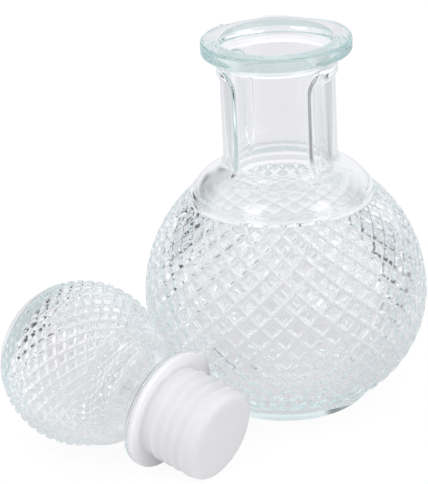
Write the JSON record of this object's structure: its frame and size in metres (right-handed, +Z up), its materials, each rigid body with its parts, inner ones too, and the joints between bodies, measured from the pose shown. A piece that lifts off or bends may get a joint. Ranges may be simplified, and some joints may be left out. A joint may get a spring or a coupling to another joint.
{
  "type": "liquor decanter",
  "caption": "Ball-shaped pressed glass decanter with an all-over diamond pattern, ribbed neck and rolled lip; its ball stopper with a soft ribbed seal lies beside it.",
  "frame": {"origin": "middle of the bottle's flat underside, on the table", "axes": "+Z up along the bottle's axis; -Y towards the viewer; the stopper lies at -X and -Y with its plug end turned towards the viewer's right"},
  "size_m": [0.194, 0.1707, 0.1726],
  "materials": {
    "bottle_glass": "clear pressed glass with a faint green-blue tint",
    "knob_glass": "clear pressed glass with a faint green-blue tint",
    "seal_plastic": "soft milky translucent plastic, satin"
  },
  "bodies": {
    "bottle": {"decanter_bottle": "bottle_glass"},
    "seal": {"stopper_seal": "seal_plastic"},
    "knob": {"stopper_knob": "knob_glass"}
  },
  "joints": [
    {"name": "stopper_lift", "type": "slide", "parent": "bottle", "child": "seal", "axis": [-0.147, -0.147, 0.9781], "range_m": [0, 0.2]},
    {"name": "knob_pull", "type": "slide", "parent": "seal", "child": "knob", "axis": [-0.7827, 0.5898, 0.1986], "range_m": [0, 0.03]}
  ]
}
